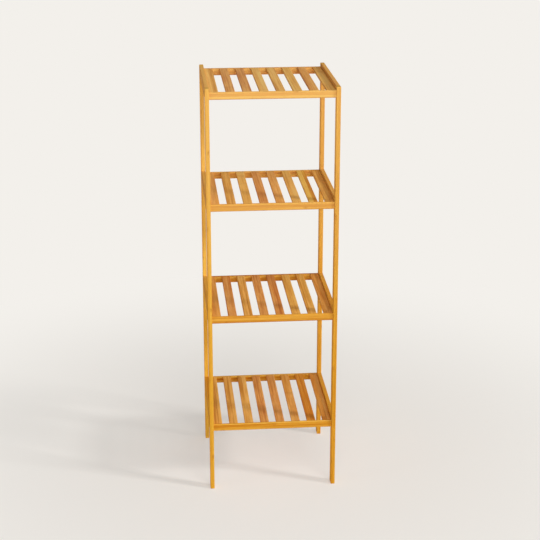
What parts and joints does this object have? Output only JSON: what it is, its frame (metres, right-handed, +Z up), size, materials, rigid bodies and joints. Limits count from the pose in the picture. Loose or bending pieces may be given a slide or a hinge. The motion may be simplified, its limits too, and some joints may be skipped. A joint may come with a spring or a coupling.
{
  "type": "bathroom shelf",
  "caption": "Tall narrow free-standing bamboo shelf with open slatted tiers between two ladder-shaped side frames, for towels and toiletries.",
  "frame": {"origin": "on the floor, at the middle of the footprint", "axes": "+Z up, +X to the right as seen from the front, -Y out of the front"},
  "size_m": [0.34, 0.34, 1.1],
  "materials": {
    "frame_bamboo": "laminated bamboo, honey yellow, clear satin lacquer",
    "rail_bamboo": "laminated bamboo, honey yellow with darker laminations, clear satin lacquer",
    "slat_bamboo": "bamboo strip, amber to brown with dark nodes, clear satin lacquer",
    "dowel_wood": "plain beech",
    "screw_steel": "zinc-plated steel"
  },
  "bodies": {
    "root": {"front_left_post": "frame_bamboo", "front_right_post": "frame_bamboo", "rear_left_post": "frame_bamboo", "rear_right_post": "frame_bamboo", "shelf_1_left_rail": "frame_bamboo", "shelf_1_right_rail": "frame_bamboo", "shelf_1_front_rail": "rail_bamboo", "shelf_1_rear_rail": "rail_bamboo", "shelf_1_slat_1": "slat_bamboo", "shelf_1_slat_2": "slat_bamboo", "shelf_1_slat_3": "slat_bamboo", "shelf_1_slat_4": "slat_bamboo", "shelf_1_slat_5": "slat_bamboo", "shelf_1_slat_6": "slat_bamboo", "shelf_1_slat_7": "slat_bamboo", "shelf_1_slat_8": "slat_bamboo", "shelf_1_screws": "screw_steel", "shelf_2_left_rail": "frame_bamboo", "shelf_2_right_rail": "frame_bamboo", "shelf_2_front_rail": "rail_bamboo", "shelf_2_rear_rail": "rail_bamboo", "shelf_2_slat_1": "slat_bamboo", "shelf_2_slat_2": "slat_bamboo", "shelf_2_slat_3": "slat_bamboo", "shelf_2_slat_4": "slat_bamboo", "shelf_2_slat_5": "slat_bamboo", "shelf_2_slat_6": "slat_bamboo", "shelf_2_slat_7": "slat_bamboo", "shelf_2_slat_8": "slat_bamboo", "shelf_2_screws": "screw_steel", "shelf_3_left_rail": "frame_bamboo", "shelf_3_right_rail": "frame_bamboo", "shelf_3_front_rail": "rail_bamboo", "shelf_3_rear_rail": "rail_bamboo", "shelf_3_slat_1": "slat_bamboo", "shelf_3_slat_2": "slat_bamboo", "shelf_3_slat_3": "slat_bamboo", "shelf_3_slat_4": "slat_bamboo", "shelf_3_slat_5": "slat_bamboo", "shelf_3_slat_6": "slat_bamboo", "shelf_3_slat_7": "slat_bamboo", "shelf_3_slat_8": "slat_bamboo", "shelf_3_screws": "screw_steel", "shelf_4_left_rail": "frame_bamboo", "shelf_4_right_rail": "frame_bamboo", "shelf_4_front_rail": "rail_bamboo", "shelf_4_rear_rail": "rail_bamboo", "shelf_4_slat_1": "slat_bamboo", "shelf_4_slat_2": "slat_bamboo", "shelf_4_slat_3": "slat_bamboo", "shelf_4_slat_4": "slat_bamboo", "shelf_4_slat_5": "slat_bamboo", "shelf_4_slat_6": "slat_bamboo", "shelf_4_slat_7": "slat_bamboo", "shelf_4_slat_8": "slat_bamboo", "shelf_4_screws": "screw_steel", "left_frame_dowels": "dowel_wood", "right_frame_dowels": "dowel_wood"}
  },
  "joints": []
}
